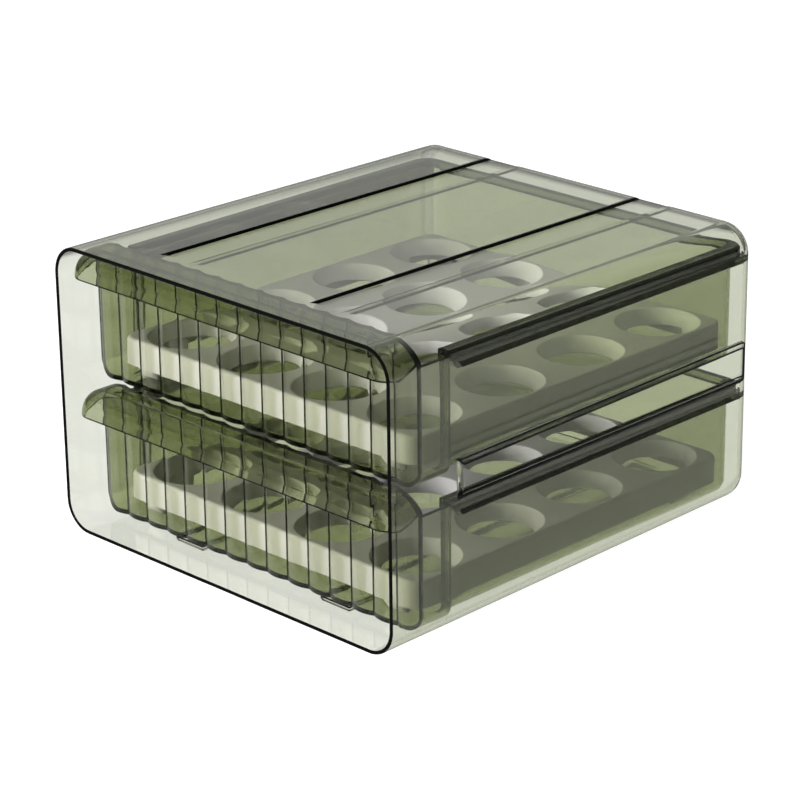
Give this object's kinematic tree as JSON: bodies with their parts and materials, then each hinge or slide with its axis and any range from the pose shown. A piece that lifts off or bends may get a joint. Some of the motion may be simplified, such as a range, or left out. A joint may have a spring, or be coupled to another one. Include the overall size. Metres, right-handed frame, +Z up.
{
  "type": "egg storage drawer",
  "caption": "Stackable tiered box with fluted pull-out drawers, each with a removable tray of round holes that holds eggs upright.",
  "frame": {"origin": "centre of the bounding box's bottom, between the two feet", "axes": "+X to the right, +Y to the rear, +Z up; the drawers open towards -Y"},
  "size_m": [0.224, 0.251, 0.1472],
  "materials": {
    "smoke_clear_plastic": "clear, polished, faint grey-green tint",
    "olive_clear_plastic": "clear, polished, olive tint",
    "white_plastic": "opaque, satin"
  },
  "bodies": {
    "housing_body": {"housing": "smoke_clear_plastic"},
    "upper_drawer_body": {"upper_drawer": "olive_clear_plastic"},
    "lower_drawer_body": {"lower_drawer": "olive_clear_plastic"},
    "upper_tray_body": {"upper_egg_tray": "white_plastic"},
    "lower_tray_body": {"lower_egg_tray": "white_plastic"}
  },
  "joints": [
    {"name": "upper_drawer_slide", "type": "slide", "parent": "housing_body", "child": "upper_drawer_body", "axis": [0, -1, 0], "range_m": [0, 0.16]},
    {"name": "lower_drawer_slide", "type": "slide", "parent": "housing_body", "child": "lower_drawer_body", "axis": [0, -1, 0], "range_m": [0, 0.16]},
    {"name": "upper_tray_lift", "type": "slide", "parent": "upper_drawer_body", "child": "upper_tray_body", "axis": [0, 0, 1], "range_m": [0, 0.04]},
    {"name": "lower_tray_lift", "type": "slide", "parent": "lower_drawer_body", "child": "lower_tray_body", "axis": [0, 0, 1], "range_m": [0, 0.04]}
  ]
}
